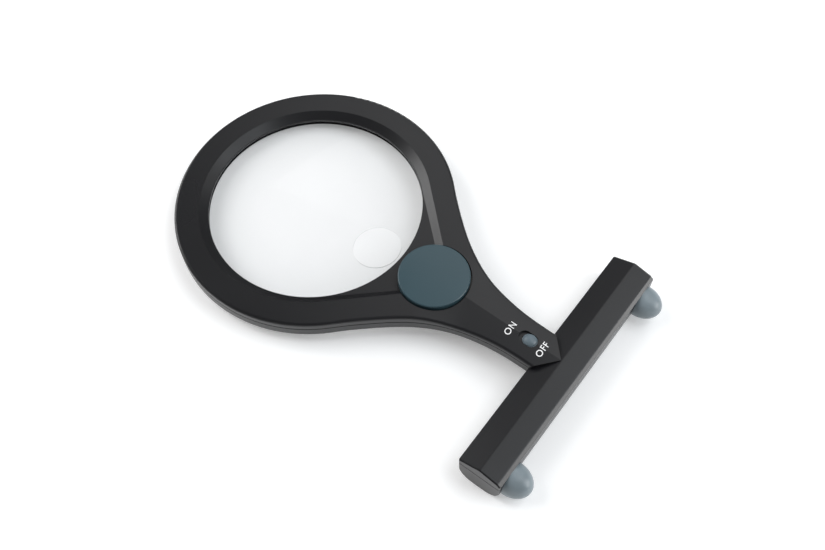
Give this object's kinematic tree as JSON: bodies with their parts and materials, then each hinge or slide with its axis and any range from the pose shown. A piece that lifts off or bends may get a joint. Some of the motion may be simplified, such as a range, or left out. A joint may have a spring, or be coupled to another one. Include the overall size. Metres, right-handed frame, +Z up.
{
  "type": "low vision magnifier",
  "caption": "Hands-free lighted magnifier: round framed lens on a flared neck, battery crossbar with two rubber feet, lamp cap beside the lens and a slide switch.",
  "frame": {"origin": "centre of the bounding box on the table plane, with the magnifier lying on its ring's far lower edge and the crossbar's crowned underside", "axes": "+X from the lens towards the crossbar, +Z up from the table, +Y towards the crossbar's left end seen from the lens side"},
  "size_m": [0.2262, 0.1336, 0.0206],
  "materials": {
    "black_plastic": "semi-gloss moulded black",
    "clear_lens": "polished clear optical plastic",
    "blue_grey_plastic": "semi-gloss moulded blue-grey",
    "circuit_board": "lacquered board",
    "clear_led": "clear epoxy",
    "resistor_body": "lacquered tan",
    "bright_reflector": "vacuum-plated",
    "clear_window": "polished clear",
    "grey_plastic": "satin moulded grey",
    "bare_copper_alloy": "bright stamped",
    "plated_steel": "bright plated",
    "switch_insulation": "phenolic brown",
    "cell_sleeve": "plain shrink sleeve",
    "grey_rubber": "smooth soft rubber",
    "red_insulation": "smooth insulation",
    "black_insulation": "smooth insulation",
    "white_insulation": "smooth insulation"
  },
  "bodies": {
    "frame": {"upper_shell": "black_plastic", "lower_shell": "black_plastic", "main_lens": "clear_lens", "led_cap": "blue_grey_plastic", "led_board": "circuit_board", "leds": "clear_led", "resistor": "resistor_body", "led_reflector": "bright_reflector", "led_window": "clear_window", "switch_can": "plated_steel", "switch_base": "switch_insulation", "switch_pins": "bare_copper_alloy", "switch_screws": "plated_steel", "battery_cell_front": "cell_sleeve", "battery_cell_back": "cell_sleeve", "positive_contact": "plated_steel", "negative_contact": "plated_steel", "contact_spring": "plated_steel", "foot_left": "grey_rubber", "foot_right": "grey_rubber", "cord_loop_left": "black_plastic", "cord_loop_right": "black_plastic", "shell_screws": "plated_steel", "wire_red": "red_insulation", "wire_black": "black_insulation", "wire_white": "white_insulation"},
    "switch": {"switch_knob": "grey_plastic", "switch_wiper": "bare_copper_alloy"},
    "door": {"battery_door": "black_plastic"}
  },
  "joints": [
    {"name": "switch_slide", "type": "slide", "parent": "frame", "child": "switch", "axis": [-0.9981, 0, -0.0615], "range_m": [0, 0.002]},
    {"name": "door_lift", "type": "slide", "parent": "frame", "child": "door", "axis": [0.0615, 0, -0.9981], "range_m": [0, 0.014]}
  ]
}
